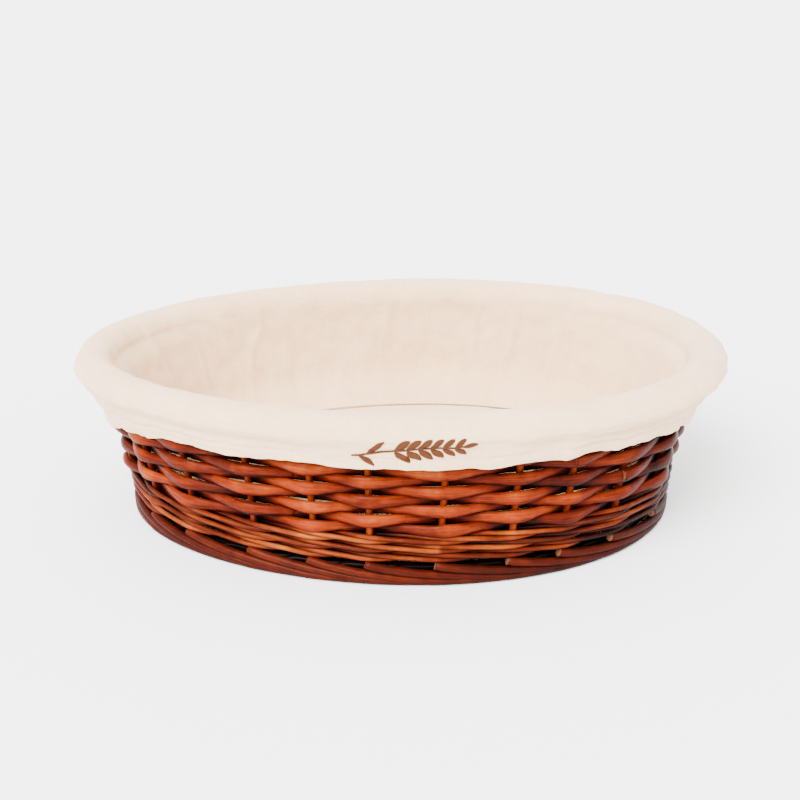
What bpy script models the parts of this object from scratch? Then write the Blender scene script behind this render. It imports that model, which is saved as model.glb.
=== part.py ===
"""Oval stake-and-strand willow bread basket with a lift-out cotton liner.

Metres, +Z up. The origin is the middle of the basket's foot, on the table.
+X runs along the long axis and -Y is the front, where the liner is embroidered.
"""
import bpy
import bmesh
from math import cos, pi, sin, sqrt
from mathutils import Vector

# ---- driving dimensions -------------------------------------------------
GAP = 0.0003                 # clearance that neighbouring solids keep

STAKES = 24                  # uprights round the oval
STAKE_D = 0.0040
ROD_D = 0.0057               # siding willow
ROD_PITCH = 0.0060           # height of one row of siding
SIDING_ROWS = 9
WALE_D = 0.0025              # fine willow of the wale
WALE_ROUNDS = 3
WALE_RODS = 3                # rods in one round
EGG = 0.075                  # how much blunter the +X end of the oval is
STAKE_DRIFT = 0.0035         # hand-placed stakes wander this far along the wall
DRIFT_WAVES = 7

FOOT_LENGTH = 0.3390         # outside of the wicker, at the table
FOOT_WIDTH = 0.2450
FLARE_LENGTH = (0.092, 0.95)    # half-length grows by s*z + q*z*z
FLARE_WIDTH = (0.030, 0.20)     # half-width grows by s*z + q*z*z
WALL_DEPTH = 0.0075          # outside of the wall to the line of its stakes

WALE_BOTTOM = 0.0142
SIDING_BOTTOM = 0.0314
STAKE_BOTTOM = 0.0126
STAKE_TOP = 0.0860

BORDER_LENGTH = 0.3748       # middle line of the top border
BORDER_WIDTH = 0.2428
BORDER_Z = 0.0948
BORDER_D = 0.0072
BORDER_TWIST = 0.0046
BORDER_TURNS = 6

FOOT_RODS = 3
FOOT_D = 0.0040
FOOT_Z = 0.0058
FOOT_SWING = (0.0026, 0.0043)   # how far a foot rod swings sideways and up
FOOT_TURNS = 6

BASE_STICK_D = 0.0040
BASE_LONG_Z = 0.0144
BASE_WEAVE = (0.0167, 0.0195)   # underside and top of the woven base panel
BASE_CROSS_Z = 0.0218
BASE_LONG_Y = (-0.020, 0.020)
BASE_CROSS_X = (-0.090, -0.030, 0.030, 0.090)

CLOTH = 0.0012
LINER_FLOOR = 0.0241         # underside of the liner's floor
RIM_LENGTH = 0.4000          # outside of the liner where it rolls over the border
RIM_WIDTH = 0.2666
RIM_Z = 0.0932
RIM_ROLL = 0.0119            # radius of that roll
HEM_LENGTH = 0.3660
HEM_WIDTH = 0.2644
HEM_Z = 0.0769
HEM_DIP = 0.0189             # how much lower the hem hangs at the two ends
ELASTIC = (0.0010, 0.0050)   # thickness and height of the elastic band
SPRIG_LENGTH = 0.0680
SPRIG_MIDDLE = (0.0022, 0.0886)   # x and z of the embroidered sprig
SPRIG_STEM = 0.0008
SPRIG_GRAIN = 0.0085
SPRIG_THICK = 0.0006

RING_POINTS = 2 * STAKES     # one at each stake and one in each space
ROPE_POINTS = 48

# ---- materials ----------------------------------------------------------
WILLOW = (0.330, 0.068, 0.022)
WILLOW_DARK = (0.200, 0.038, 0.014)
WILLOW_FINE = (0.400, 0.130, 0.055)
COTTON = (0.800, 0.720, 0.620)
THREAD = (0.320, 0.140, 0.060)
RUBBER = (0.700, 0.660, 0.600)


def material(name, colour, roughness):
    found = bpy.data.materials.get(name)
    if found:
        return found
    made = bpy.data.materials.new(name)
    made.use_nodes = True
    shader = made.node_tree.nodes["Principled BSDF"]
    shader.inputs["Base Color"].default_value = (*colour, 1.0)
    shader.inputs["Roughness"].default_value = roughness
    shader.inputs["Metallic"].default_value = 0.0
    made.diffuse_color = (*colour, 1.0)
    return made


# ---- the oval -----------------------------------------------------------
def oval(half_length, half_width, turn):
    """Point on an egg-shaped oval; turn is 0 at +X and pi/2 at +Y."""
    return Vector((half_length * cos(turn), half_width * sin(turn) * (1 + EGG * cos(turn)), 0))


def outward(half_length, half_width, turn):
    """Horizontal unit vector that points out of the oval at turn."""
    step = 1e-4
    along = oval(half_length, half_width, turn + step) - oval(half_length, half_width, turn - step)
    return Vector((along.y, -along.x, 0)).normalized()


def wall(z):
    """Half-length and half-width of the line of the stakes at height z."""
    half_length = FOOT_LENGTH / 2 + FLARE_LENGTH[0] * z + FLARE_LENGTH[1] * z * z
    half_width = FOOT_WIDTH / 2 + FLARE_WIDTH[0] * z + FLARE_WIDTH[1] * z * z
    return half_length - WALL_DEPTH, half_width - WALL_DEPTH


def turns_along(half_length, half_width, lengths):
    """Turns whose distances along the oval from its front, -Y, are these lengths."""
    fine = 2880
    found = []
    turn = -pi / 2
    walked = 0.0
    here = oval(half_length, half_width, turn)
    for length in lengths:
        while walked < length:
            turn += 2 * pi / fine
            there = oval(half_length, half_width, turn)
            walked += (there - here).length
            here = there
        found.append(turn)
    return found


def girth(half_length, half_width):
    fine = 2880
    points = [oval(half_length, half_width, 2 * pi * i / fine) for i in range(fine)]
    return sum((points[i] - points[i - 1]).length for i in range(fine))


def ring_turns():
    """Turns of every stake (even places) and every space between two (odd places)."""
    middle = wall((SIDING_BOTTOM + STAKE_TOP) / 2)
    around = girth(*middle)
    lengths = []
    for place in range(RING_POINTS):
        drift = STAKE_DRIFT * sin(2 * pi * DRIFT_WAVES * place / RING_POINTS)
        lengths.append(around * (place + 1) / RING_POINTS + drift)
    return turns_along(*middle, lengths)


# ---- building -----------------------------------------------------------
def start():
    for thing in list(bpy.data.objects):
        bpy.data.objects.remove(thing, do_unlink=True)
    made = bpy.data.collections.new("bread_basket")
    bpy.context.scene.collection.children.link(made)
    return made


def add_tube(name, points, diameter, sides, closed, look):
    """A rod: a poly curve with a round bevel, open ends capped."""
    curve = bpy.data.curves.new(name, "CURVE")
    curve.dimensions = "3D"
    curve.bevel_depth = diameter / 2
    curve.bevel_resolution = (sides - 4) // 2
    curve.use_fill_caps = not closed
    spline = curve.splines.new("POLY")
    spline.points.add(len(points) - 1)
    for knot, point in zip(spline.points, points):
        knot.co = (*point, 1.0)
    spline.use_cyclic_u = closed
    made = bpy.data.objects.new(name, curve)
    made.data.materials.append(look)
    PARTS.objects.link(made)
    return made


def add_mesh(name, mesh_data, look):
    mesh = bpy.data.meshes.new(name)
    bmesh.ops.recalc_face_normals(mesh_data, faces=mesh_data.faces)
    mesh_data.to_mesh(mesh)
    mesh_data.free()
    mesh.shade_smooth()
    made = bpy.data.objects.new(name, mesh)
    made.data.materials.append(look)
    PARTS.objects.link(made)
    return made


def loft(rings, joined):
    """Skin closed rings of points; joined also connects the last ring to the first."""
    data = bmesh.new()
    rows = [[data.verts.new(point) for point in ring] for ring in rings]
    pairs = list(zip(rows, rows[1:]))
    if joined:
        pairs.append((rows[-1], rows[0]))
    for low, high in pairs:
        for i in range(len(low)):
            data.faces.new((low[i - 1], low[i], high[i], high[i - 1]))
    if not joined:
        data.faces.new(rows[0])
        data.faces.new(rows[-1])
    return data


def level_ring(half_length, half_width, z, count=RING_POINTS, dip=0.0):
    """A ring of points round the oval, lower by dip at its two ends."""
    points = []
    for i in range(count):
        turn = 2 * pi * i / count
        point = oval(half_length, half_width, turn)
        point.z = z - dip * abs(cos(turn)) ** 8
        points.append(point)
    return points


# ---- wicker -------------------------------------------------------------
def stakes(turns):
    for number in range(STAKES):
        turn = turns[2 * number]
        points = []
        for step in range(4):
            z = STAKE_BOTTOM + (STAKE_TOP - STAKE_BOTTOM) * step / 3
            point = oval(*wall(z), turn)
            point.z = z
            points.append(point)
        look = material("willow_stake", WILLOW, 0.38)
        add_tube(f"stake_{number + 1:02d}", points, STAKE_D, 6, False, look)


def siding(turns):
    """Plain rows, in front of one stake and behind the next, alternate rows opposite."""
    swing = (STAKE_D + ROD_D) / 2 + GAP + 0.0001
    look = material("willow_siding", WILLOW, 0.32)
    for row in range(SIDING_ROWS):
        z = SIDING_BOTTOM + ROD_D / 2 + ROD_PITCH * row
        points = []
        for place, turn in enumerate(turns):
            side = cos(pi * (place / 2 + row))
            point = oval(*wall(z), turn) + outward(*wall(z), turn) * swing * side
            point.z = z
            points.append(point)
        add_tube(f"siding_row_{row + 1}", points, ROD_D, 6, True, look)


def wale(turns):
    """Three-rod wale: each rod goes in front of two stakes and behind the third."""
    lift = (WALE_D + GAP) / 2
    swing = (STAKE_D + WALE_D) / 2 + GAP + 0.0001
    stroke = ((1, 1), (1, 0), (1, -1), (0, -1), (-1, 0), (0, 1))
    look = material("willow_wale", WILLOW_FINE, 0.36)
    for course in range(WALE_ROUNDS):
        middle = WALE_BOTTOM + (4 * course + 2) * lift
        for rod in range(WALE_RODS):
            points = []
            for place, turn in enumerate(turns):
                out, up = stroke[(place + 2 * rod) % len(stroke)]
                z = middle + up * lift
                point = oval(*wall(middle), turn) + outward(*wall(middle), turn) * swing * out
                point.z = z
                points.append(point)
            add_tube(f"wale_{course + 1}_rod_{rod + 1}", points, WALE_D, 4, True, look)


def rope_rod(half_length, half_width, z, swing, phase, turns_round):
    """One rod of a rope laid round the oval; swing is its reach sideways and up."""
    points = []
    for i in range(ROPE_POINTS):
        turn = 2 * pi * i / ROPE_POINTS
        lay = turns_round * turn + phase
        point = oval(half_length, half_width, turn)
        point += outward(half_length, half_width, turn) * swing[0] * cos(lay)
        point.z = z + swing[1] * sin(lay)
        points.append(point)
    return points


def top_border():
    look = material("willow_border", WILLOW, 0.34)
    for rod in range(3):
        swing = (BORDER_TWIST, BORDER_TWIST)
        points = rope_rod(BORDER_LENGTH / 2, BORDER_WIDTH / 2, BORDER_Z, swing,
                          2 * pi * rod / 3, -BORDER_TURNS)
        add_tube(f"top_border_rod_{rod + 1}", points, BORDER_D, 6, True, look)


def foot_border():
    """Rods laid like a rope under the wale, worn flat where they stand on the table."""
    look = material("willow_foot", WILLOW_DARK, 0.40)
    inset = FOOT_SWING[0] + FOOT_D / 2
    for rod in range(FOOT_RODS):
        points = rope_rod(FOOT_LENGTH / 2 - inset, FOOT_WIDTH / 2 - inset, FOOT_Z, FOOT_SWING,
                          2 * pi * rod / FOOT_RODS + pi / 6, -FOOT_TURNS)
        name = f"foot_border_rod_{rod + 1}"
        tube = add_tube(name + "_tube", points, FOOT_D, 6, True, look)
        graph = bpy.context.evaluated_depsgraph_get()
        data = bmesh.new()
        data.from_mesh(bpy.data.meshes.new_from_object(tube.evaluated_get(graph)))
        bpy.data.objects.remove(tube, do_unlink=True)
        bmesh.ops.remove_doubles(data, verts=data.verts, dist=0.00001)
        everything = data.verts[:] + data.edges[:] + data.faces[:]
        bmesh.ops.bisect_plane(data, geom=everything, dist=0.000001, plane_co=(0, 0, 0),
                               plane_no=(0, 0, 1), clear_inner=True)
        open_edges = [edge for edge in data.edges if edge.is_boundary]
        bmesh.ops.holes_fill(data, edges=open_edges, sides=0)
        add_mesh(name, data, look)


def base():
    look = material("willow_base", WILLOW_DARK, 0.42)
    low_length, low_width = wall(BASE_WEAVE[0])
    edge = (STAKE_D + WALE_D) / 2 + WALE_D / 2 + 3 * GAP
    half_length = low_length - edge
    half_width = low_width - edge
    panel = loft([level_ring(half_length, half_width, z) for z in BASE_WEAVE], False)
    add_mesh("base_weave", panel, look)
    for number, y in enumerate(BASE_LONG_Y):
        reach = half_length * sqrt(1 - (y / half_width) ** 2) - 0.006
        points = [(-reach, y, BASE_LONG_Z), (reach, y, BASE_LONG_Z)]
        add_tube(f"base_long_stick_{number + 1}", points, BASE_STICK_D, 8, False, look)
    for number, x in enumerate(BASE_CROSS_X):
        reach = half_width * sqrt(1 - (x / half_length) ** 2) - 0.012
        points = [(x, -reach, BASE_CROSS_Z), (x, reach, BASE_CROSS_Z)]
        add_tube(f"base_cross_stick_{number + 1}", points, BASE_STICK_D, 8, False, look)


# ---- liner --------------------------------------------------------------
def lining(z):
    """Half-length and half-width of the liner's outer face inside the wicker."""
    half_length, half_width = wall(z)
    inset = (STAKE_D + ROD_D) / 2 + ROD_D / 2 + 3 * GAP
    return half_length - inset, half_width - inset


def shell(name, rings, inward, look):
    """An open skin made solid; inward thickens it towards the inside of the oval."""
    data = bmesh.new()
    rows = [[data.verts.new(point) for point in ring] for ring in rings]
    for low, high in zip(rows, rows[1:]):
        for i in range(len(low)):
            data.faces.new((low[i - 1], low[i], high[i], high[i - 1]))
    mesh = bpy.data.meshes.new(name)
    data.to_mesh(mesh)
    data.free()
    mesh.shade_smooth()
    made = bpy.data.objects.new(name, mesh)
    made.data.materials.append(look)
    PARTS.objects.link(made)
    thick = made.modifiers.new("cloth", "SOLIDIFY")
    thick.thickness = CLOTH
    thick.offset = -1.0 if inward else 1.0
    thick.use_even_offset = True
    return made


def liner_floor():
    half_length, half_width = lining(LINER_FLOOR)
    half_length -= CLOTH + GAP
    half_width -= CLOTH + GAP
    rings = [level_ring(half_length, half_width, z) for z in (LINER_FLOOR, LINER_FLOOR + CLOTH)]
    add_mesh("liner_floor", loft(rings, False), material("liner_cotton", COTTON, 0.90))


def rim_lip():
    """Half-length and half-width of the inner edge of the liner's roll."""
    return RIM_LENGTH / 2 - 2 * RIM_ROLL, RIM_WIDTH / 2 - 2 * RIM_ROLL


def liner_wall():
    """From the floor up the inside of the wicker to the lip of the roll."""
    rings = []
    heights = (LINER_FLOOR, 0.045, 0.065, STAKE_TOP)
    for z in heights:
        half_length, half_width = lining(z)
        rings.append(level_ring(half_length, half_width, z))
    top = RIM_Z - CLOTH
    lip_length, lip_width = rim_lip()
    rings.append(level_ring(lip_length + CLOTH, lip_width + CLOTH, top))
    shell("liner_wall", rings, True, material("liner_cotton", COTTON, 0.90))


def cuff_rings():
    """Over the border in half a turn, then down and in to the hem."""
    middle_length = RIM_LENGTH / 2 - RIM_ROLL
    middle_width = RIM_WIDTH / 2 - RIM_ROLL
    rings = []
    for step in range(7):
        angle = pi * (1 - step / 6)
        reach = RIM_ROLL * cos(angle)
        z = RIM_Z + RIM_ROLL * sin(angle)
        rings.append(level_ring(middle_length + reach, middle_width + reach, z))
    for step in range(1, 4):
        way = step / 3
        half_length = (RIM_LENGTH + (HEM_LENGTH - RIM_LENGTH) * way) / 2
        half_width = (RIM_WIDTH + (HEM_WIDTH - RIM_WIDTH) * way) / 2
        z = RIM_Z + (HEM_Z - RIM_Z) * way
        rings.append(level_ring(half_length, half_width, z, dip=HEM_DIP * way))
    return rings


def liner_cuff():
    shell("liner_cuff", cuff_rings(), False, material("liner_cotton", COTTON, 0.90))


def hem_elastic():
    """A flat band just inside the hem, leaning as the cuff leans."""
    thick, tall = ELASTIC
    outside = 1.2 * CLOTH + 2 * GAP
    hem = level_ring(HEM_LENGTH / 2, HEM_WIDTH / 2, HEM_Z, dip=HEM_DIP)
    rim = level_ring(RIM_LENGTH / 2, RIM_WIDTH / 2, RIM_Z)
    rings = []
    for deep, up in ((0, 0), (thick, 0), (thick, tall), (0, tall)):
        ring = []
        for i in range(RING_POINTS):
            climb = (rim[i] - hem[i]).normalized()
            away = outward(HEM_LENGTH / 2, HEM_WIDTH / 2, 2 * pi * i / RING_POINTS)
            ring.append(hem[i] + climb * (GAP + up) - away * (outside + deep))
        rings.append(ring)
    add_mesh("hem_elastic", loft(rings, True), material("elastic", RUBBER, 0.70))


def cuff_front(x, z, lift):
    """Point on the front of the cuff at x and z, standing off it by lift."""
    way = (RIM_Z - z) / (RIM_Z - HEM_Z)
    if way > 0:
        half_width = (RIM_WIDTH + (HEM_WIDTH - RIM_WIDTH) * way) / 2
    else:
        up = min(z - RIM_Z, RIM_ROLL)
        half_width = RIM_WIDTH / 2 - RIM_ROLL + sqrt(RIM_ROLL ** 2 - up ** 2)
    half_length = RIM_LENGTH / 2
    turn = -pi / 2
    for _ in range(12):
        turn += (x - half_length * cos(turn)) / (-half_length * sin(turn))
    point = oval(half_length + lift, half_width + lift, turn)
    point.z = z
    return point


def sprig():
    """The embroidered ear of wheat: a bare stem, then seven pairs of grains."""
    pairs = 7
    steps = 5 * pairs
    bare = 10
    rings = []
    for i in range(bare + steps + 1):
        along = i / (bare + steps)
        x = SPRIG_MIDDLE[0] + (along - 0.5) * SPRIG_LENGTH
        ear = max(0.0, (i - bare) / steps)
        bump = abs(sin(pi * pairs * ear))
        half = SPRIG_STEM + (SPRIG_GRAIN - SPRIG_STEM) * bump * (1 - 0.5 * ear)
        middle = SPRIG_MIDDLE[1] - 0.0030 + 0.0050 * along
        stand = GAP
        ring = []
        for up, lift in ((-half, 0), (half, 0), (half, SPRIG_THICK), (-half, SPRIG_THICK)):
            ring.append(cuff_front(x, middle + up, stand + lift))
        rings.append(ring)
    add_mesh("embroidered_sprig", loft(rings, False), material("brown_thread", THREAD, 0.75))


PARTS = start()
places = ring_turns()
stakes(places)
siding(places)
wale(places)
top_border()
foot_border()
base()
liner_floor()
liner_wall()
liner_cuff()
hem_elastic()
sprig()
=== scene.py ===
"""Looks of the oval willow bread basket and its cotton liner.

Metres, +Z up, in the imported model's own frame: +X along the oval, -Y its front.
"""
import random
from math import cos, exp, floor, pi, radians, sin, sqrt

import bpy
import numpy as np
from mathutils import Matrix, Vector, noise


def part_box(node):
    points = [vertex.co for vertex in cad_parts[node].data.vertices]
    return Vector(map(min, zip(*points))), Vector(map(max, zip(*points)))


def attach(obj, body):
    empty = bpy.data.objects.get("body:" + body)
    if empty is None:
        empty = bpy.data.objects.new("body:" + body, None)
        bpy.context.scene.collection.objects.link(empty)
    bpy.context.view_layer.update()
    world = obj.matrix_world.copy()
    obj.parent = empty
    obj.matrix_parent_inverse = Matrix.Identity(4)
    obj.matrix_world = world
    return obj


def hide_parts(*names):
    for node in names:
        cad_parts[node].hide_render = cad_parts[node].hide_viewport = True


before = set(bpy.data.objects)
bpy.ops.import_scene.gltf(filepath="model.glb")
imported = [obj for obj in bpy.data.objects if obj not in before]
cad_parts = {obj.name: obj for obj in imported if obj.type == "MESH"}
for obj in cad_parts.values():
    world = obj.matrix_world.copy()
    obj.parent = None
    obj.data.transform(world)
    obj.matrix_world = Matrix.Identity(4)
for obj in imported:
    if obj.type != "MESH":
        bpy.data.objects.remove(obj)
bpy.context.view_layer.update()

# ---- camera -------------------------------------------------------------
LENS = 63.0                  # mm on a 36 mm sensor
DISTANCE = 0.877
ELEVATION = radians(22.0)
YAW = radians(2.0)           # how far the basket is turned from square on
TARGET = Vector((-0.001, 0.0, 0.0641))
WORLD_STRENGTH = 3.5

# ---- wicker, close to the solids' design values -------------------------
STAKES = 24
STAKE_D = 0.0042
ROD_D = 0.0057
ROD_DEPTH = 0.0047           # the rods press flat against the stakes
ROD_PITCH = 0.0060
SIDING_ROWS = 9
WALE_D = 0.0028
WALE_ROUNDS = 3
WALE_RODS = 3
EGG = 0.075                  # how much blunter the oval is at +X
STAKE_DRIFT = 0.0035         # how far the stakes stand from even spacing
DRIFT_WAVES = 7
FOOT_LENGTH = 0.3390
FOOT_WIDTH = 0.2450
FLARE_LENGTH = (0.092, 1.02)  # slope and curve of the wall's lean at the ends
FLARE_WIDTH = (0.030, 0.20)  # and at the sides
WALL_DEPTH = 0.0067          # from the foot's outline in to the stakes
WALE_BOTTOM = 0.0142
SIDING_BOTTOM = 0.0314
STAKE_BOTTOM = 0.0100
STAKE_TOP = 0.0860
BORDER_LENGTH = 0.3748
BORDER_WIDTH = 0.2428
BORDER_Z = 0.0948
BORDER_D = 0.0068
BORDER_TWIST = 0.0037        # each rod's distance from the rope's middle
BORDER_TURNS = 6
FOOT_ROD_D = 0.0048
FOOT_REACH = 4.60            # how many spaces one foot rod runs along
FOOT_HIGH = 0.0124           # height of a foot rod's cut end
FOOT_LOW = 0.0021            # height where it tucks under
BASE_Z = 0.0181
BASE_ROD_D = 0.0046
BASE_ROUNDS = 22
BASE_PITCH = 0.0051

# ---- liner --------------------------------------------------------------
CLOTH = 0.0010
LINER_FLOOR = 0.0262
FILLET = 0.0235              # soft corner between the liner's floor and wall
SEAM_DEPTH = 0.0014          # the seam round the floor lies in a groove
RIM_LENGTH = 0.4000
RIM_WIDTH = 0.2666
RIM_Z = 0.0932
RIM_ROLL = 0.0119
HEM_LENGTH = 0.3640
HEM_WIDTH = 0.2644
HEM_Z = 0.0769
HEM_DIP = 0.0189             # how much lower the hem hangs at the two ends
HEM_STITCH_WAY = 2.64        # where the stitches that close the elastic's casing run


# ---- the oval -----------------------------------------------------------
def oval(half_length, half_width, turn):
    """Point on the egg-shaped oval; turn is 0 at +X and pi/2 at +Y."""
    return Vector((half_length * cos(turn), half_width * sin(turn) * (1 + EGG * cos(turn)), 0))


def outward(half_length, half_width, turn):
    """Horizontal unit vector that points out of the oval."""
    step = 1e-4
    along = oval(half_length, half_width, turn + step) - oval(half_length, half_width, turn - step)
    return Vector((along.y, -along.x, 0)).normalized()


def wall(z):
    """Half-length and half-width of the line of the stakes at height z."""
    half_length = FOOT_LENGTH / 2 + FLARE_LENGTH[0] * z + FLARE_LENGTH[1] * z * z
    half_width = FOOT_WIDTH / 2 + FLARE_WIDTH[0] * z + FLARE_WIDTH[1] * z * z
    return half_length - WALL_DEPTH, half_width - WALL_DEPTH


def girth_table():
    """Turn against distance along the middle of the wall, from the front, once round."""
    middle = wall((SIDING_BOTTOM + STAKE_TOP) / 2)
    turns = np.linspace(-pi / 2, 3 * pi / 2, 2881)
    points = np.array([oval(*middle, turn)[:2] for turn in turns])
    steps = np.linalg.norm(np.diff(points, axis=0), axis=1)
    return turns, np.concatenate([[0.0], np.cumsum(steps)])


TURNS, WALKED = girth_table()
GIRTH = WALKED[-1]


def turn_at(stake):
    """Turn of a place counted in stakes; stake k stands at k, and the place wraps round."""
    rounds, rest = divmod(stake + 0.5, STAKES)
    place = rest / STAKES
    drift = STAKE_DRIFT * sin(2 * pi * DRIFT_WAVES * (place - 0.5 / STAKES))
    length = GIRTH * place + drift
    whole = floor(length / GIRTH)
    return float(np.interp(length - whole * GIRTH, WALKED, TURNS)) + 2 * pi * (whole + rounds)


# ---- meshes -------------------------------------------------------------
def finish_mesh(name, points, faces, look, corners=None, tones=None, cap_faces=(), cap_look=None):
    """A smooth mesh with a UV per face corner, a tone per point and its own look."""
    mesh = bpy.data.meshes.new(name)
    mesh.from_pydata([tuple(p) for p in points], [], faces)
    if corners is not None:
        layer = mesh.uv_layers.new(name="along")
        layer.data.foreach_set("uv", np.asarray(corners, dtype=np.float32).ravel())
    if tones is not None:
        tone = mesh.attributes.new("tone", "FLOAT", "POINT")
        tone.data.foreach_set("value", np.asarray(tones, dtype=np.float32))
    mesh.shade_smooth()
    mesh.materials.append(look)
    if cap_look:
        mesh.materials.append(cap_look)
        for face in cap_faces:
            mesh.polygons[face].material_index = 1
            mesh.polygons[face].use_smooth = False
    made = bpy.data.objects.new(name, mesh)
    bpy.context.scene.collection.objects.link(made)
    return made


class Bundle:
    """Swept rods gathered into one mesh."""

    def __init__(self):
        self.points = []
        self.faces = []
        self.corners = []
        self.tones = []
        self.caps = []

    def sweep(self, path, sides, closed):
        """path is a list of (centre, side vector, half width, half height, tone)."""
        first = len(self.points)
        count = len(path)
        travelled = 0.0
        lengths = []
        for i, (centre, side, wide, high, tone) in enumerate(path):
            after = path[(i + 1) % count][0] if closed or i < count - 1 else centre
            before = path[i - 1][0] if closed or i else centre
            tangent = (after - before).normalized()
            across = (side - tangent * side.dot(tangent)).normalized()
            up = across.cross(tangent)
            if i:
                travelled += (centre - path[i - 1][0]).length
            lengths.append(travelled)
            for k in range(sides):
                angle = 2 * pi * k / sides
                self.points.append(centre + across * wide * cos(angle) + up * high * sin(angle))
                # Painted light and shade round each rod: the outward face and the top are lighter, the
                # underside darker.
                under = max(0.0, -sin(angle) - 0.25)
                self.tones.append(tone + 0.09 * cos(angle) + 0.03 * sin(angle) - 0.30 * under)
        lengths.append(travelled + (path[0][0] - path[-1][0]).length)
        for i in range(count if closed else count - 1):
            here = first + i * sides
            there = first + (i + 1) % count * sides
            for k in range(sides):
                after = (k + 1) % sides
                self.faces.append((here + k, here + after, there + after, there + k))
                for station, turn in ((i, k), (i, k + 1), (i + 1, k + 1), (i + 1, k)):
                    self.corners.append((lengths[station], turn / sides))
        if not closed:
            last = first + (count - 1) * sides
            self.caps.append(len(self.faces))
            self.faces.append(tuple(range(first + sides - 1, first - 1, -1)))
            self.caps.append(len(self.faces))
            self.faces.append(tuple(range(last, last + sides)))
            for k in range(2 * sides):
                self.corners.append((cos(2 * pi * k / sides) * 0.3, sin(2 * pi * k / sides) * 0.3))

    def make(self, name, look, cap_look=None):
        return finish_mesh(name, self.points, self.faces, look, self.corners, self.tones,
                           self.caps if cap_look else (), cap_look)


def stand_in(piece, body, slot, *nodes):
    """The piece rides on the body, in the place of the CAD nodes. The slot is not used."""
    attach(piece, body)
    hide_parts(*nodes)


def wobble(seed, place, size):
    """Smooth noise between about -1 and 1 along a rod."""
    return noise.noise(Vector((place / size, seed * 7.31, seed * 1.7)))


def cubic_loop(values, place):
    """Smooth closed curve through values, one at each whole place."""
    count = len(values)
    i = floor(place)
    t = place - i
    a, b, c, d = (values[(i + k) % count] for k in (-1, 0, 1, 2))
    return b + 0.5 * t * (c - a + t * (2 * a - 5 * b + 4 * c - d + t * (3 * (b - c) + d - a)))


# ---- materials ----------------------------------------------------------
class Look:
    """Short way to wire a material."""

    def __init__(self, name):
        self.material = bpy.data.materials.new(name)
        self.material.use_nodes = True
        self.tree = self.material.node_tree
        self.shader = self.tree.nodes["Principled BSDF"]

    def node(self, kind, settings=None, **inputs):
        made = self.tree.nodes.new(kind)
        for key, value in (settings or {}).items():
            setattr(made, key, value)
        for key, value in inputs.items():
            self.feed(made.inputs[key.replace("_", " ")], value)
        return made

    def feed(self, socket, value):
        if isinstance(value, bpy.types.NodeSocket):
            self.tree.links.new(value, socket)
        else:
            socket.default_value = value

    def math(self, operation, first, second=0.0):
        made = self.tree.nodes.new("ShaderNodeMath")
        made.operation = operation
        self.feed(made.inputs[0], first)
        self.feed(made.inputs[1], second)
        return made.outputs[0]

    def ramp(self, value, stops):
        made = self.tree.nodes.new("ShaderNodeValToRGB")
        elements = made.color_ramp.elements
        while len(elements) < len(stops):
            elements.new(0.5)
        for element, (place, colour) in zip(elements, stops):
            element.position = place
            element.color = (*colour, 1.0)
        self.feed(made.inputs[0], value)
        return made.outputs[0]

    def scaled(self, coordinates, scale):
        made = self.node("ShaderNodeMapping", Scale=scale)
        self.feed(made.inputs["Vector"], coordinates)
        return made.outputs[0]

    def set(self, **values):
        for key, value in values.items():
            self.feed(self.shader.inputs[key.replace("_", " ")], value)


def willow(name, stops, shine):
    """Stained, lacquered willow: grain along the rod, blotches of stain, and the mesh's tone, which carries
    the rods' own variation and painted light and shade; high spots are lighter, partly from wear and partly
    as painted light.
    """
    look = Look(name)
    uv = look.node("ShaderNodeUVMap", {"uv_map": "along"}).outputs[0]
    place = look.node("ShaderNodeTexCoord").outputs["Object"]
    tone = look.node("ShaderNodeAttribute", {"attribute_name": "tone"}).outputs["Fac"]
    grain = look.node("ShaderNodeTexNoise", Scale=1.0, Detail=5.0, Roughness=0.65,
                      Vector=look.scaled(uv, (90.0, 9.0, 1.0))).outputs["Fac"]
    blotch = look.node("ShaderNodeTexNoise", Scale=85.0, Detail=3.0, Roughness=0.55,
                       Vector=place).outputs["Fac"]
    streak = look.node("ShaderNodeTexNoise", Scale=1.0, Detail=2.0, Roughness=0.5,
                       Vector=look.scaled(uv, (26.0, 22.0, 1.0))).outputs["Fac"]
    mixed = look.math("MULTIPLY_ADD", grain, 0.46)
    mixed.node.inputs[2].default_value = -0.55
    mixed = look.math("ADD", mixed, look.math("MULTIPLY", blotch, 0.34))
    mixed = look.math("ADD", mixed, look.math("MULTIPLY", streak, 0.32))
    mixed = look.math("ADD", mixed, tone)
    colour = look.ramp(mixed, stops)
    rough = look.math("MULTIPLY_ADD", grain, 0.30)
    rough.node.inputs[2].default_value = shine - 0.12
    bump = look.node("ShaderNodeBump", Strength=0.35, Distance=0.0006,
                     Height=look.math("ADD", grain, look.math("MULTIPLY", streak, 0.8)))
    look.set(Base_Color=colour, Roughness=rough, Normal=bump.outputs[0])
    look.set(Specular_IOR_Level=0.03, Coat_Weight=0.03, Coat_Roughness=0.12)
    return look.material


def cut_wood():
    """The stained end grain of a cut rod."""
    look = Look("cut_end")
    uv = look.node("ShaderNodeUVMap", {"uv_map": "along"}).outputs[0]
    rings = look.node("ShaderNodeTexNoise", Scale=9.0, Detail=4.0, Vector=uv).outputs["Fac"]
    colour = look.ramp(rings, ((0.30, (0.035, 0.009, 0.003)), (0.75, (0.15, 0.052, 0.018))))
    look.set(Base_Color=colour, Roughness=0.6)
    return look.material


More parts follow.
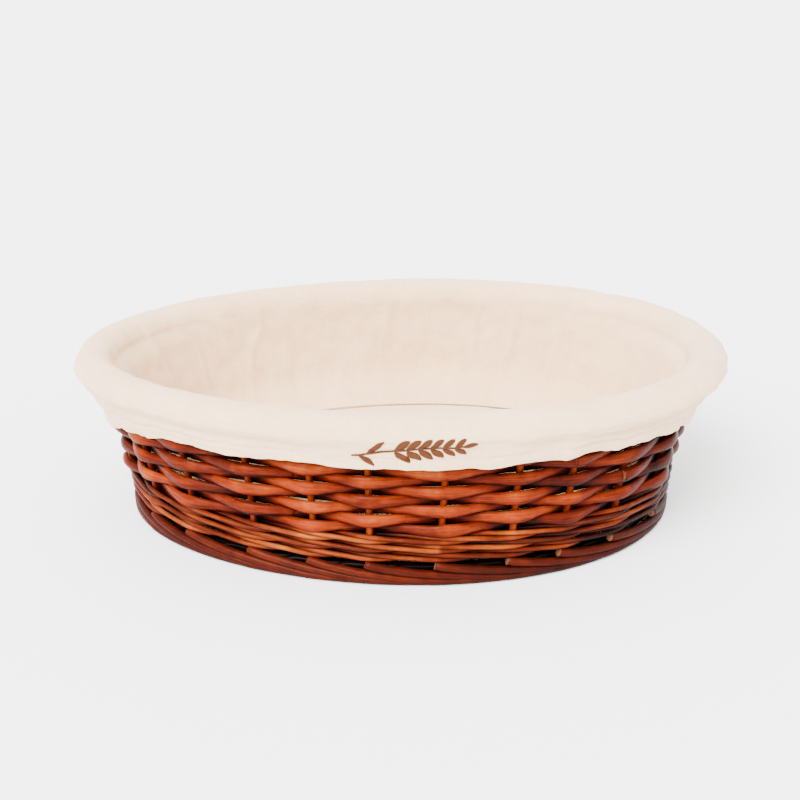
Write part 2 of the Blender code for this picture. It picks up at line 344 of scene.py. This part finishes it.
def cotton():
    """Unbleached plain-woven cotton with slubs and a faint nap."""
    look = Look("cream_cotton")
    uv = look.node("ShaderNodeUVMap", {"uv_map": "along"}).outputs[0]
    threads = []
    for axis in ("X", "Y"):
        wave = look.node("ShaderNodeTexWave", {"wave_type": "BANDS", "bands_direction": axis},
                         Scale=430.0, Distortion=1.2, Detail=2.0, Vector=uv)
        wave.inputs["Detail Scale"].default_value = 1.5
        threads.append(wave.outputs["Fac"])
    cloth = look.math("MULTIPLY", threads[0], threads[1])
    slubs = []
    for scale in ((110.0, 1000.0, 1.0), (1000.0, 110.0, 1.0)):
        streaks = look.node("ShaderNodeTexNoise", Scale=1.0, Detail=3.0, Roughness=0.6,
                            Vector=look.scaled(uv, scale))
        slubs.append(streaks.outputs["Fac"])
    slub = look.math("ADD", slubs[0], slubs[1])
    mottle = look.node("ShaderNodeTexNoise", Scale=30.0, Detail=5.0, Roughness=0.65,
                       Vector=uv).outputs["Fac"]
    # The weave term darkens between the threads as painted shade; slubs and mottling are the cloth's own.
    value = look.math("ADD", look.math("MULTIPLY", cloth, 0.10), look.math("MULTIPLY", slub, 0.42))
    value = look.math("ADD", value, look.math("MULTIPLY", mottle, 0.42))
    mottle_and_shade = tuple(channel * factor for channel, factor in zip(COTTON, COTTON_MOTTLE_AND_SHADE))
    colour = look.ramp(value, ((0.45, mottle_and_shade), (0.85, COTTON)))
    height = look.math("ADD", cloth, look.math("MULTIPLY", slub, 0.7))
    bump = look.node("ShaderNodeBump", Strength=0.65, Distance=0.0006, Height=height)
    look.set(Base_Color=colour, Roughness=0.92, Normal=bump.outputs[0])
    look.set(Sheen_Weight=0.25, Sheen_Roughness=0.5)
    return look.material


def thread(name, dark, light):
    """Twisted thread with a soft shine."""
    look = Look(name)
    uv = look.node("ShaderNodeUVMap", {"uv_map": "along"}).outputs[0]
    twist = look.node("ShaderNodeTexWave", {"wave_type": "BANDS", "bands_direction": "DIAGONAL"},
                      Scale=160.0, Distortion=0.5, Vector=look.scaled(uv, (1.0, 0.02, 1.0)))
    colour = look.ramp(twist.outputs["Fac"], ((0.2, dark), (0.8, light)))
    bump = look.node("ShaderNodeBump", Strength=0.4, Distance=0.0002, Height=twist.outputs["Fac"])
    look.set(Base_Color=colour, Roughness=0.55, Normal=bump.outputs[0], Specular_IOR_Level=0.15)
    return look.material


RED_BROWN = ((0.02, (0.0010, 0.0002, 0.0001)), (0.22, (0.0120, 0.0010, 0.0003)),
             (0.45, (0.0640, 0.0050, 0.0005)), (0.66, (0.1700, 0.0190, 0.0016)),
             (0.92, (0.3600, 0.0820, 0.0140)))
WORN = ((0.02, (0.0010, 0.0002, 0.0001)), (0.22, (0.0130, 0.0013, 0.0004)),
        (0.44, (0.0640, 0.0066, 0.0008)), (0.66, (0.1800, 0.0320, 0.0042)),
        (0.92, (0.3800, 0.1350, 0.0300)))
DEEP = ((0.02, (0.0006, 0.0002, 0.0001)), (0.30, (0.0075, 0.0007, 0.0003)),
        (0.58, (0.0330, 0.0030, 0.0005)), (0.82, (0.0880, 0.0098, 0.0015)),
        (1.00, (0.2000, 0.0400, 0.0070)))
COTTON = (0.968, 0.682, 0.412)
COTTON_MOTTLE_AND_SHADE = (0.79, 0.735, 0.68)    # per channel, the darker end of the cotton's ramp: slubs and mottling in the cloth, and painted shade between the threads


# ---- wicker -------------------------------------------------------------
def painted_end_shade(turn):
    """Painted shade: darker round the two ends of the oval, and more so at the +X end."""
    return -0.20 * cos(turn) ** 2 - 0.08 * cos(turn)


def make_stakes(look, cut):
    """Uprights that follow the wall and then bend out into the border."""
    straight = 32
    bent = 12
    for number in range(STAKES):
        bundle = Bundle()
        path = []
        shade = 0.05 * wobble(number + 3, 0.0, 1.0)
        for step in range(straight + bent + 1):
            rise = min(step / straight, 1.0)
            bend = max(0.0, (step - straight) / bent)
            z = STAKE_BOTTOM + (STAKE_TOP - STAKE_BOTTOM) * rise
            stake = number + 0.012 * wobble(number + 40, z, 0.02)
            turn = turn_at(stake)
            centre = oval(*wall(z), turn)
            border = oval(BORDER_LENGTH / 2 - 0.001, BORDER_WIDTH / 2 - 0.001, turn)
            centre = centre.lerp(border, bend * bend * (3 - 2 * bend))
            centre.z = z + (BORDER_Z - STAKE_TOP) * bend
            thick = STAKE_D / 2 * (1.04 - 0.10 * rise + 0.04 * wobble(number, z, 0.008))
            # Painted light: the stakes' lighter tone stands for light on their fronts; the end term is
            # painted shade.
            tone = 0.56 + shade + painted_end_shade(turn)
            path.append((centre, outward(*wall(z), turn), thick, thick, tone))
        bundle.sweep(path, 12, False)
        name = f"stake_{number + 1:02d}"
        stand_in(bundle.make(f"{name}_willow", look, cut), "basket", "stained_willow", name)


def kinked(place):
    """Wave from +1 at 0 to -1 at 1 and back, nearly straight between its rounded peaks."""
    round_peak = 0.16
    apart = abs((place % 2) - 1)
    near = min(apart, 1 - apart)
    fall = sqrt(near ** 2 + round_peak ** 2) - round_peak
    whole = sqrt(0.25 + round_peak ** 2) - round_peak
    return (1 - fall / whole) * (1 if apart > 0.5 else -1)


def siding_station(row, stake, off):
    """One station of a siding rod; off > 0 lifts a second rod's butt clear of the first."""
    turn = turn_at(stake)
    side = kinked(stake + row)
    front = max(side, 0.0)
    back = max(-side, 0.0)
    line = wall(SIDING_BOTTOM + ROD_D / 2 + ROD_PITCH * row)
    across = outward(*line, turn)
    squeeze = 0.0001
    swing = (STAKE_D + ROD_DEPTH) / 2 - squeeze
    lean = 0.0005 * wobble(row + 31, stake, 1.1) + 0.0021 * off
    centre = oval(*line, turn) + across * (swing * side + lean)
    centre.z = SIDING_BOTTOM + ROD_D / 2 + ROD_PITCH * row
    centre.z += 0.00045 * wobble(row + 23, stake, 1.4) - 0.0015 * back ** 0.6 + 0.0011 * off
    from_butt = (stake / STAKES * 2 + 0.37 * row) % 1.0
    taper = (1.0 + 0.05 * wobble(row + 11, 0.5, 1.0)) * (1.05 - 0.12 * from_butt)
    wide = ROD_DEPTH / 2 * taper * (1 - 0.12 * off)
    high = ROD_D / 2 * (1.05 + 0.40 * front ** 1.6 + 0.30 * back ** 1.4) * taper * (1 - 0.22 * off)
    # Lighter where the rod bows out in front of a stake (partly wear, partly painted light), darker behind
    # one (painted shade), plus the painted end shade.
    tone = 0.42 + 0.11 * side - 0.16 * back + painted_end_shade(turn)
    tone += 0.22 * wobble(row + 50, stake, 1.3)
    return centre, across, wide, high, tone


def make_siding(look, cut):
    """Rods in front of one stake and behind the next, swelling where they bow out."""
    samples = 12
    lap = 0.85                   # stakes that a new rod's butt is seen over
    lap_steps = 14
    plain_rows = 2               # the topmost rows, where the cuff lies on them
    chance = random.Random(5)
    for row in range(SIDING_ROWS):
        bundle = Bundle()
        path = [siding_station(row, i / samples, 0.0) for i in range(STAKES * samples)]
        bundle.sweep(path, 14, True)
        for _ in range(2 if row < SIDING_ROWS - plain_rows else 0):
            passing = 2 * chance.randrange(STAKES // 2) - row % 2
            start = passing - 0.10 - 0.12 * chance.random()
            path = []
            for step in range(lap_steps + 1):
                off = (1 - step / lap_steps) ** 0.8
                path.append(siding_station(row, start + lap * step / lap_steps, off))
            bundle.sweep(path, 12, False)
        name = f"siding_row_{row + 1}"
        stand_in(bundle.make(f"{name}_willow", look, cut), "basket", "stained_willow", name)


def make_wale(look):
    """Fine rods, each in front of two stakes and behind the third, laid like a rope."""
    samples = 8
    lift = WALE_D / 2
    swing = (STAKE_D + WALE_D) / 2
    outs = (1.0, 1.0, 1.0, 0.0, -1.0, 0.0)
    ups = (1.0, 0.0, -1.0, -1.0, 0.0, 1.0)
    for course in range(WALE_ROUNDS):
        middle = WALE_BOTTOM + (4 * course + 2) * lift
        for rod in range(WALE_RODS):
            bundle = Bundle()
            path = []
            seed = course * 3 + rod
            for i in range(2 * STAKES * samples):
                place = i / samples
                turn = turn_at(place / 2)
                out = cubic_loop(outs, place + 2 * rod)
                up = cubic_loop(ups, place + 2 * rod)
                line = wall(middle)
                across = outward(*line, turn)
                centre = oval(*line, turn) + across * swing * out
                centre.z = middle + up * lift + 0.0003 * wobble(seed + 70, place, 3.0)
                thick = WALE_D / 2 * (1.04 + 0.10 * wobble(seed + 80, place, 5.0))
                # Painted light and shade: lighter where a rod lies in front of the stakes, darker behind
                # them and round the ends.
                tone = 0.25 + 0.16 * out + painted_end_shade(turn) + 0.36 * wobble(seed + 90, place, 2.6)
                path.append((centre, across, thick, thick, tone))
            bundle.sweep(path, 10, True)
            name = f"wale_{course + 1}_rod_{rod + 1}"
            stand_in(bundle.make(f"{name}_willow", look), "basket", "fine_willow", name)


def make_top_border(look):
    """Three rods laid like a rope along the rim, under the liner's cuff."""
    for rod in range(3):
        bundle = Bundle()
        path = []
        count = 240
        for i in range(count):
            turn = 2 * pi * i / count
            lay = -BORDER_TURNS * turn + 2 * pi * rod / 3
            half = (BORDER_LENGTH / 2, BORDER_WIDTH / 2)
            across = outward(*half, turn)
            centre = oval(*half, turn) + across * BORDER_TWIST * cos(lay)
            centre.z = BORDER_Z + BORDER_TWIST * sin(lay)
            thick = BORDER_D / 2 * (0.98 + 0.05 * wobble(rod + 100, i, 22.0))
            path.append((centre, across, thick, thick, 0.55 + 0.06 * wobble(rod + 110, i, 30.0)))
        bundle.sweep(path, 14, True)
        name = f"top_border_rod_{rod + 1}"
        stand_in(bundle.make(f"{name}_willow", look), "basket", "stained_willow", name)


def make_foot_border(look, cut):
    """A rod leaves each stake, slopes down over its neighbours and tucks under them."""
    inset = 0.0042
    steps = 60
    half = (FOOT_LENGTH / 2 - inset, FOOT_WIDTH / 2 - inset)
    for strand in range(3):
        bundle = Bundle()
        for rod in range(strand, STAKES, 3):
            path = []
            start = rod - 0.10 + 0.10 * wobble(rod + 120, 0.0, 1.0)
            for step in range(steps + 1):
                way = step / steps
                turn = turn_at(start + FOOT_REACH * way)
                fall = min(1.0, way / 0.45) ** 0.8
                fall = fall + 0.06 * sin(pi * fall) * (1 - fall)
                tuck = min(1.0, max(0.0, (way - 0.67) / 0.13))
                tuck = tuck * tuck * (3 - 2 * tuck)
                across = outward(*half, turn)
                out = 0.0019 - 0.0008 * way - 0.0072 * tuck
                centre = oval(*half, turn) + across * (out + 0.0003 * wobble(rod + 130, way, 0.4))
                thick = FOOT_ROD_D / 2 * (1.06 - 0.10 * way + 0.22 * tuck)
                centre.z = max(FOOT_HIGH + (FOOT_LOW - FOOT_HIGH) * fall, thick)
                centre.z += 0.0046 * tuck
                # Painted shade: the rod darkens as it slopes down and turns near black where it tucks under
                # its neighbours, to darken the gaps; plus the painted end shade.
                tone = 0.58 - 0.20 * way - 0.40 * tuck + 0.8 * painted_end_shade(turn)
                tone += 0.12 * wobble(rod + 140, way, 0.5)
                path.append((centre, across, thick, thick, tone))
            bundle.sweep(path, 12, False)
        name = f"foot_border_rod_{strand + 1}"
        stand_in(bundle.make(f"{name}_willow", look, cut), "basket", "dark_willow", name)


def make_base(look, cut):
    """Oval rounds of willow woven over and under the sticks of the base."""
    edge = wall(BASE_Z)
    outermost = 0.0065           # from the stakes in to the first round
    over_under = 0.0011
    thick = BASE_ROD_D / 2
    bundle = Bundle()
    for ring in range(BASE_ROUNDS):
        inset = outermost + BASE_PITCH * ring
        half_length = edge[0] - inset
        half_width = edge[1] - inset
        path = []
        count = 192
        for i in range(count):
            turn = 2 * pi * i / count
            over = cos(STAKES / 2 * turn + pi * ring)
            centre = oval(half_length, half_width, turn)
            centre.z = BASE_Z + over_under * over
            tone = 0.50 - 0.06 * over + 0.10 * wobble(ring + 150, i, 16.0)
            path.append((centre, outward(half_length, half_width, turn), thick, thick, tone))
        bundle.sweep(path, 8, True)
    stand_in(bundle.make("base_weave_willow", look), "basket", "dark_willow", "base_weave")
    for name in [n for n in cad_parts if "_stick_" in n]:
        low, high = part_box(name)
        low = Vector(low)
        high = Vector(high)
        middle = (low + high) / 2
        reach = (high - low) / 2
        along = Vector((1, 0, 0)) if reach.x > reach.y else Vector((0, 1, 0))
        bundle = Bundle()
        path = []
        steps = 24
        for step in range(steps + 1):
            way = 2 * step / steps - 1
            centre = middle + along * way * max(reach.x, reach.y)
            path.append((centre, along.cross(Vector((0, 0, 1))), reach.z, reach.z * 0.78, 0.40))
        bundle.sweep(path, 12, False)
        stand_in(bundle.make(f"{name}_willow", look, cut), "basket", "dark_willow", name)


# ---- liner --------------------------------------------------------------
def lining(z):
    """Half-length and half-width of the liner's outer face inside the wicker."""
    half_length, half_width = wall(z)
    slack = 0.0016
    inset = (STAKE_D + ROD_DEPTH) / 2 + ROD_DEPTH / 2 + slack
    return half_length - inset, half_width - inset


def liner_section(way, turn):
    """Outer skin of the liner: way is 0 at the floor's edge, 1 at the lip, 2 past the roll
    and 3 at the hem. Returns the half-length, the half-width and the height."""
    lip = (RIM_LENGTH / 2 - 2 * RIM_ROLL, RIM_WIDTH / 2 - 2 * RIM_ROLL)
    if way <= 0.25:
        angle = way / 0.25 * pi / 2
        edge = lining(LINER_FLOOR + FILLET)
        inset = FILLET * (1 - sin(angle))
        sunk = SEAM_DEPTH * exp(-(way / 0.05) ** 2)
        return edge[0] - inset, edge[1] - inset, LINER_FLOOR + FILLET * (1 - cos(angle)) - sunk
    if way <= 1:
        rise = (way - 0.25) / 0.75
        z = LINER_FLOOR + FILLET + (RIM_Z - LINER_FLOOR - FILLET) * rise
        inside = lining(min(z, STAKE_TOP))
        late = max(0.0, (rise - 0.80) / 0.20) ** 1.5
        half_length = inside[0] + (lip[0] - inside[0]) * late
        half_width = inside[1] + (lip[1] - inside[1]) * rise ** 2
        return half_length, half_width, z
    if way <= 2:
        angle = pi * (2 - way)
        reach = RIM_ROLL * (1 + cos(angle))
        return lip[0] + reach, lip[1] + reach, RIM_Z + RIM_ROLL * sin(angle)
    down = way - 2
    half_length = (RIM_LENGTH + (HEM_LENGTH - RIM_LENGTH) * down) / 2
    half_width = (RIM_WIDTH + (HEM_WIDTH - RIM_WIDTH) * down) / 2
    hollow = sin(pi * down)
    dip = HEM_DIP * abs(cos(turn)) ** 8 * (0.88 - 0.12 * cos(turn))
    half_length -= hollow * (0.0018 + 0.0014 * max(0.0, cos(turn)))
    return half_length, half_width - 0.0010 * hollow, RIM_Z + (HEM_Z - RIM_Z - dip) * down


def liner_point(way, turn):
    half_length, half_width, z = liner_section(way, turn)
    point = oval(half_length, half_width, turn)
    point.z = z
    return point


def liner_normal(way, turn):
    """Unit vector out of the cloth's shown side."""
    step = 0.01
    down = liner_point(min(way + step, 3.0), turn) - liner_point(max(way - step, 0.0), turn)
    along = liner_point(way, turn + step) - liner_point(way, turn - step)
    return down.cross(along).normalized()


def folds(way, turn):
    """How far the cloth stands off its plain shape: soft creases, and puckers at the hem."""
    around = Vector((cos(turn) * 3.0, sin(turn) * 3.0, way * 0.9))
    broad = 0.0014 * noise.noise(around * 2.2)
    fine = 0.0009 * noise.noise(around * 6.5 + Vector((3.1, 0, 0)))
    drag = noise.noise(Vector((cos(turn) * 11, sin(turn) * 11, 1.1 * way + 2.0 * sin(3 * turn))))
    rim = exp(-((way - 1.5) / 0.45) ** 2)
    lift = (broad + fine + 0.0008 * drag) * (1 - 0.65 * rim)
    if way > 1.7:
        down = min(1.0, (way - 1.7) / 1.3)
        gather = noise.noise(Vector((cos(turn) * 17, sin(turn) * 17, 0.25 * way)))
        tight = noise.noise(Vector((cos(turn) * 42, sin(turn) * 42, 0.4 * way)))
        ends = 1 - 0.6 * abs(cos(turn)) ** 4
        lift += down ** 2 * (0.0014 * gather + 0.0011 * tight) * ends
        sway = 0.05 * sin(5 * turn)
        tuck = exp(-((way - 2.34 - sway) / 0.10) ** 2)
        right = exp(-((turn + 0.70) / 0.50) ** 2)
        left = 0.6 * exp(-((turn + 2.35) / 0.45) ** 2)
        lift -= 0.0026 * tuck * (right + left)
        casing = exp(-((way - HEM_STITCH_WAY) / 0.05) ** 2)
        lift -= 0.0007 * casing * (1 + tight)
    if way < 1.25:
        hang = noise.noise(Vector((cos(turn) * 6.5, sin(turn) * 6.5, 0.5 * way + 9.0)))
        crease = max(0.0, 1 - abs(hang) / 0.13) ** 2
        lift += 0.0018 * crease * sin(pi * way / 1.25)
        slack = noise.noise(Vector((cos(turn) * 24, sin(turn) * 24, 3.5 * way)))
        lift += 0.0010 * max(0.0, slack) * exp(-(way / 0.35) ** 2)
    return lift


def hem_sway(point, way, turn):
    """The hem wanders up and down a little."""
    if way > 2:
        sway = noise.noise(Vector((cos(turn) * 9, sin(turn) * 9, 4.0)))
        point.z += 0.0016 * sway * (way - 2)
    return point


def make_liner(look):
    """Wall, roll and cuff as one cloth, from the floor's edge to the hem."""
    around = 480
    ways = list(np.linspace(0.0, 1.0, 34)) + list(np.linspace(1.0, 2.0, 26))[1:]
    ways += list(np.linspace(2.0, 3.0, 36))[1:]
    points = []
    for way in ways:
        for i in range(around):
            turn = 2 * pi * i / around - pi
            point = liner_point(way, turn) + liner_normal(way, turn) * folds(way, turn)
            points.append(hem_sway(point, way, turn))
    faces = []
    corners = []
    lengths = [0.0]
    for j in range(1, len(ways)):
        lengths.append(lengths[-1] + (points[j * around] - points[(j - 1) * around]).length)
    girth = 0.95                 # what the weave is laid out to, between wall and roll
    for j in range(len(ways) - 1):
        for i in range(around):
            after = (i + 1) % around
            faces.append((j * around + i, (j + 1) * around + i, (j + 1) * around + after,
                          j * around + after))
            for row, column in ((j, i), (j + 1, i), (j + 1, i + 1), (j, i + 1)):
                corners.append((girth * column / around, lengths[row]))
    cloth = finish_mesh("liner_cloth", points, faces, look, corners)
    thick = cloth.modifiers.new("cloth", "SOLIDIFY")
    thick.thickness = CLOTH
    thick.offset = -1.0
    stand_in(cloth, "liner", "cream_cotton", "liner_wall", "liner_cuff", "hem_elastic")
    return cloth


def make_liner_floor(look):
    """The floor's own cloth, slightly rippled, which dips into the seam at its edge."""
    rings = 60
    around = 160
    edge = liner_section(0.0, 0.0)
    under_seam = 0.001
    points = [Vector((0, 0, LINER_FLOOR))]
    for ring in range(1, rings + 1):
        share = ring / rings
        for i in range(around):
            turn = 2 * pi * i / around
            point = oval((edge[0] + under_seam) * share, (edge[1] + under_seam) * share, turn)
            ripple = noise.noise(Vector((point.x * 22, point.y * 22, 0.7)))
            bent = noise.noise(Vector((point.x * 30, point.y * 17, 5.0)))
            crease = max(0.0, 1 - abs(bent) / 0.10) ** 2
            pucker = noise.noise(Vector((cos(turn) * 26, sin(turn) * 26, share * 2)))
            lift = 0.0007 * ripple + 0.0009 * crease + 0.0010 * pucker * share ** 9
            point.z = LINER_FLOOR + lift * (1 - share ** 30) - SEAM_DEPTH * share ** 40
            points.append(point)
    faces = []
    for i in range(around):
        faces.append((0, 1 + i, 1 + (i + 1) % around))
    for ring in range(rings - 1):
        low = 1 + ring * around
        for i in range(around):
            after = (i + 1) % around
            faces.append((low + i, low + around + i, low + around + after, low + after))
    corners = [(points[k].x, points[k].y) for face in faces for k in face]
    cloth = finish_mesh("liner_floor_cloth", points, faces, look, corners)
    thick = cloth.modifiers.new("cloth", "SOLIDIFY")
    thick.thickness = CLOTH
    thick.offset = -1.0
    stand_in(cloth, "liner", "cream_cotton", "liner_floor")


def make_floor_seam(look):
    """Overlocking that whips the floor's edge to the wall."""
    bundle = Bundle()
    edge = liner_section(0.0, 0.0)
    whips = 420
    stations = whips * 7
    path = []
    for i in range(stations):
        turn = 2 * pi * i / stations
        spin = whips * turn
        across = outward(edge[0], edge[1], turn)
        centre = oval(edge[0], edge[1], turn) + across * 0.0013 * cos(spin)
        centre.z = LINER_FLOOR - SEAM_DEPTH + 0.0008 + 0.0008 * sin(spin)
        path.append((centre, across, 0.00036, 0.00036, 0.5))
    bundle.sweep(path, 5, True)
    seam = bundle.make("floor_seam_thread", look)
    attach(seam, "liner")


def make_hem_stitches(look):
    """The line of machine stitches that closes the casing of the elastic."""
    bundle = Bundle()
    count = 300
    filled = 0.72                # share of the stitch line that is thread
    way = HEM_STITCH_WAY
    for number in range(count):
        path = []
        for step in range(6):
            turn = 2 * pi * (number + filled * step / 5) / count
            lift = folds(way, turn) - 0.0001 + 0.0003 * sin(pi * step / 5)
            normal = liner_normal(way, turn)
            point = hem_sway(liner_point(way, turn) + normal * lift, way, turn)
            path.append((point, normal, 0.00020, 0.00024, 0.5))
        bundle.sweep(path, 5, False)
    stitches = bundle.make("hem_stitches", look)
    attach(stitches, "liner")


# ---- embroidery ---------------------------------------------------------
SPRIG_LENGTH = 0.0680
SPRIG_X = 0.0022
SPRIG_Z = 0.0886
THREAD_D = 0.00062


def cuff_place(x, z):
    """way and turn of the front of the cuff at x and z."""
    turn = -pi / 2
    way = 2.3
    for _ in range(20):
        point = liner_point(way, turn)
        turn += (x - point.x) / (RIM_LENGTH / 2)
        way += (point.z - z) / (0.016 if way > 2 else 0.030)
        way = min(max(way, 1.45), 2.98)
    return way, turn


def on_cuff(x, z, lift):
    """Point at x and z that stands lift off the creased cloth, and the cloth's normal."""
    way, turn = cuff_place(x, z)
    normal = liner_normal(way, turn)
    point = liner_point(way, turn) + normal * (folds(way, turn) + lift)
    return hem_sway(point, way, turn), normal


def stitch(bundle, start, end, crown):
    """One satin stitch between two places on the cuff, bowed a little off the cloth."""
    path = []
    for step in range(7):
        way = step / 6
        x = start[0] + (end[0] - start[0]) * way
        z = start[1] + (end[1] - start[1]) * way
        point, normal = on_cuff(x, z, 0.0001 + crown * sin(pi * way))
        thick = THREAD_D / 2 * (0.75 + 0.25 * sin(pi * way))
        path.append((point, normal, thick * 0.8, thick, 0.5))
    bundle.sweep(path, 6, False)


def leaf(bundle, x, z, angle, length, width):
    """A pointed oval filled with slanted satin stitches."""
    count = int(length / (THREAD_D * 0.82))
    slant = 0.45 * width
    for i in range(1, count):
        along = i / count
        half = width / 2 * sin(pi * along) ** 0.8
        middle = along * length
        ends = []
        for side in (-1, 1):
            p = middle + side * slant * half / (width / 2) * 0.5
            q = side * half
            ends.append((x + p * cos(angle) - q * sin(angle), z + p * sin(angle) + q * cos(angle)))
        stitch(bundle, ends[0], ends[1], 0.0005)


def make_sprig(look):
    """An ear of wheat lying along the cuff, in satin and stem stitch."""
    bundle = Bundle()
    left = SPRIG_X - SPRIG_LENGTH / 2
    bow = 0.0030

    def stem(x):
        share = (x - left) / SPRIG_LENGTH
        return SPRIG_Z - 0.0040 + 0.0060 * share + bow * sin(pi * share) * 0.4

    pieces = 30
    for i in range(pieces):
        x = left + SPRIG_LENGTH * 0.86 * i / pieces
        step = SPRIG_LENGTH * 0.86 / pieces * 1.7
        for offset in (-0.00022, 0.00022):
            stitch(bundle, (x, stem(x) + offset - 0.0002), (x + step, stem(x + step) + offset + 0.0002),
                   0.00035)
    pairs = 6
    for i in range(pairs):
        x = left + SPRIG_LENGTH * (0.34 + 0.095 * i)
        size = 1.0 - 0.055 * i
        for side in (-1, 1):
            leaf(bundle, x, stem(x) + side * 0.0006, side * radians(34), 0.0104 * size, 0.0045 * size)
    tip = left + SPRIG_LENGTH * 0.87
    leaf(bundle, tip, stem(tip), radians(4), 0.0090, 0.0036)
    leaf(bundle, left + SPRIG_LENGTH * 0.12, stem(left + SPRIG_LENGTH * 0.12), radians(38), 0.0125, 0.0034)
    leaf(bundle, left + SPRIG_LENGTH * 0.06, stem(left + SPRIG_LENGTH * 0.06), radians(-36), 0.0105, 0.0032)
    stand_in(bundle.make("sprig_stitches", look), "liner", "brown_thread", "embroidered_sprig")


# ---- stage --------------------------------------------------------------
def make_stage():
    """A plain pale floor."""
    look = Look("pale_floor")
    look.set(Base_Color=(0.92, 0.92, 0.92, 1.0), Roughness=0.9)
    mesh = bpy.data.meshes.new("floor")
    size = 40.0
    below = -0.0002
    corners = [(-size, -size, below), (size, -size, below), (size, size, below), (-size, size, below)]
    mesh.from_pydata(corners, [], [(0, 1, 2, 3)])
    mesh.materials.append(look.material)
    ground = bpy.data.objects.new("floor", mesh)
    bpy.context.scene.collection.objects.link(ground)


def make_sun(name, aim_from, strength, spread):
    """A soft light from a direction; spread is how many degrees wide it is."""
    light = bpy.data.lights.new(name, "SUN")
    light.energy = strength
    light.angle = radians(spread)
    made = bpy.data.objects.new(name, light)
    made.location = aim_from
    made.rotation_euler = (-Vector(aim_from)).to_track_quat("-Z", "Y").to_euler()
    bpy.context.scene.collection.objects.link(made)


def make_world():
    world = bpy.data.worlds.new("studio")
    bpy.context.scene.world = world
    world.use_nodes = True
    background = world.node_tree.nodes["Background"]
    background.inputs["Color"].default_value = (1.0, 1.0, 1.0, 1.0)
    background.inputs["Strength"].default_value = WORLD_STRENGTH


def make_camera():
    lens = bpy.data.cameras.new("camera")
    lens.lens = LENS
    lens.sensor_width = 36.0
    lens.clip_start = 0.01
    camera = bpy.data.objects.new("camera", lens)
    back = DISTANCE * cos(ELEVATION)
    camera.location = TARGET + Vector((back * sin(-YAW), -back * cos(YAW), DISTANCE * sin(ELEVATION)))
    camera.rotation_euler = (TARGET - camera.location).to_track_quat("-Z", "Y").to_euler()
    bpy.context.scene.collection.objects.link(camera)
    bpy.context.scene.camera = camera


make_camera()
make_world()
make_stage()
make_sun("key", (-0.70, -1.0, 1.30), 10.5, 40.0)
make_sun("fill", (0.9, -1.2, 0.6), 0.5, 50.0)

stained = willow("stained_willow", RED_BROWN, 0.36)
worn = willow("worn_willow", WORN, 0.36)
deep = willow("deep_willow", DEEP, 0.40)
cut_end = cut_wood()
cotton_cloth = cotton()

make_stakes(stained, cut_end)
make_siding(stained, cut_end)
make_wale(worn)
make_top_border(stained)
make_foot_border(deep, cut_end)
make_base(deep, cut_end)
make_liner(cotton_cloth)
make_liner_floor(cotton_cloth)
make_floor_seam(thread("seam_thread", (0.10, 0.040, 0.014), (0.24, 0.12, 0.055)))
make_hem_stitches(thread("cream_thread", (0.62, 0.42, 0.26), (0.86, 0.64, 0.44)))
make_sprig(thread("brown_thread", (0.042, 0.010, 0.0018), (0.115, 0.031, 0.0070)))
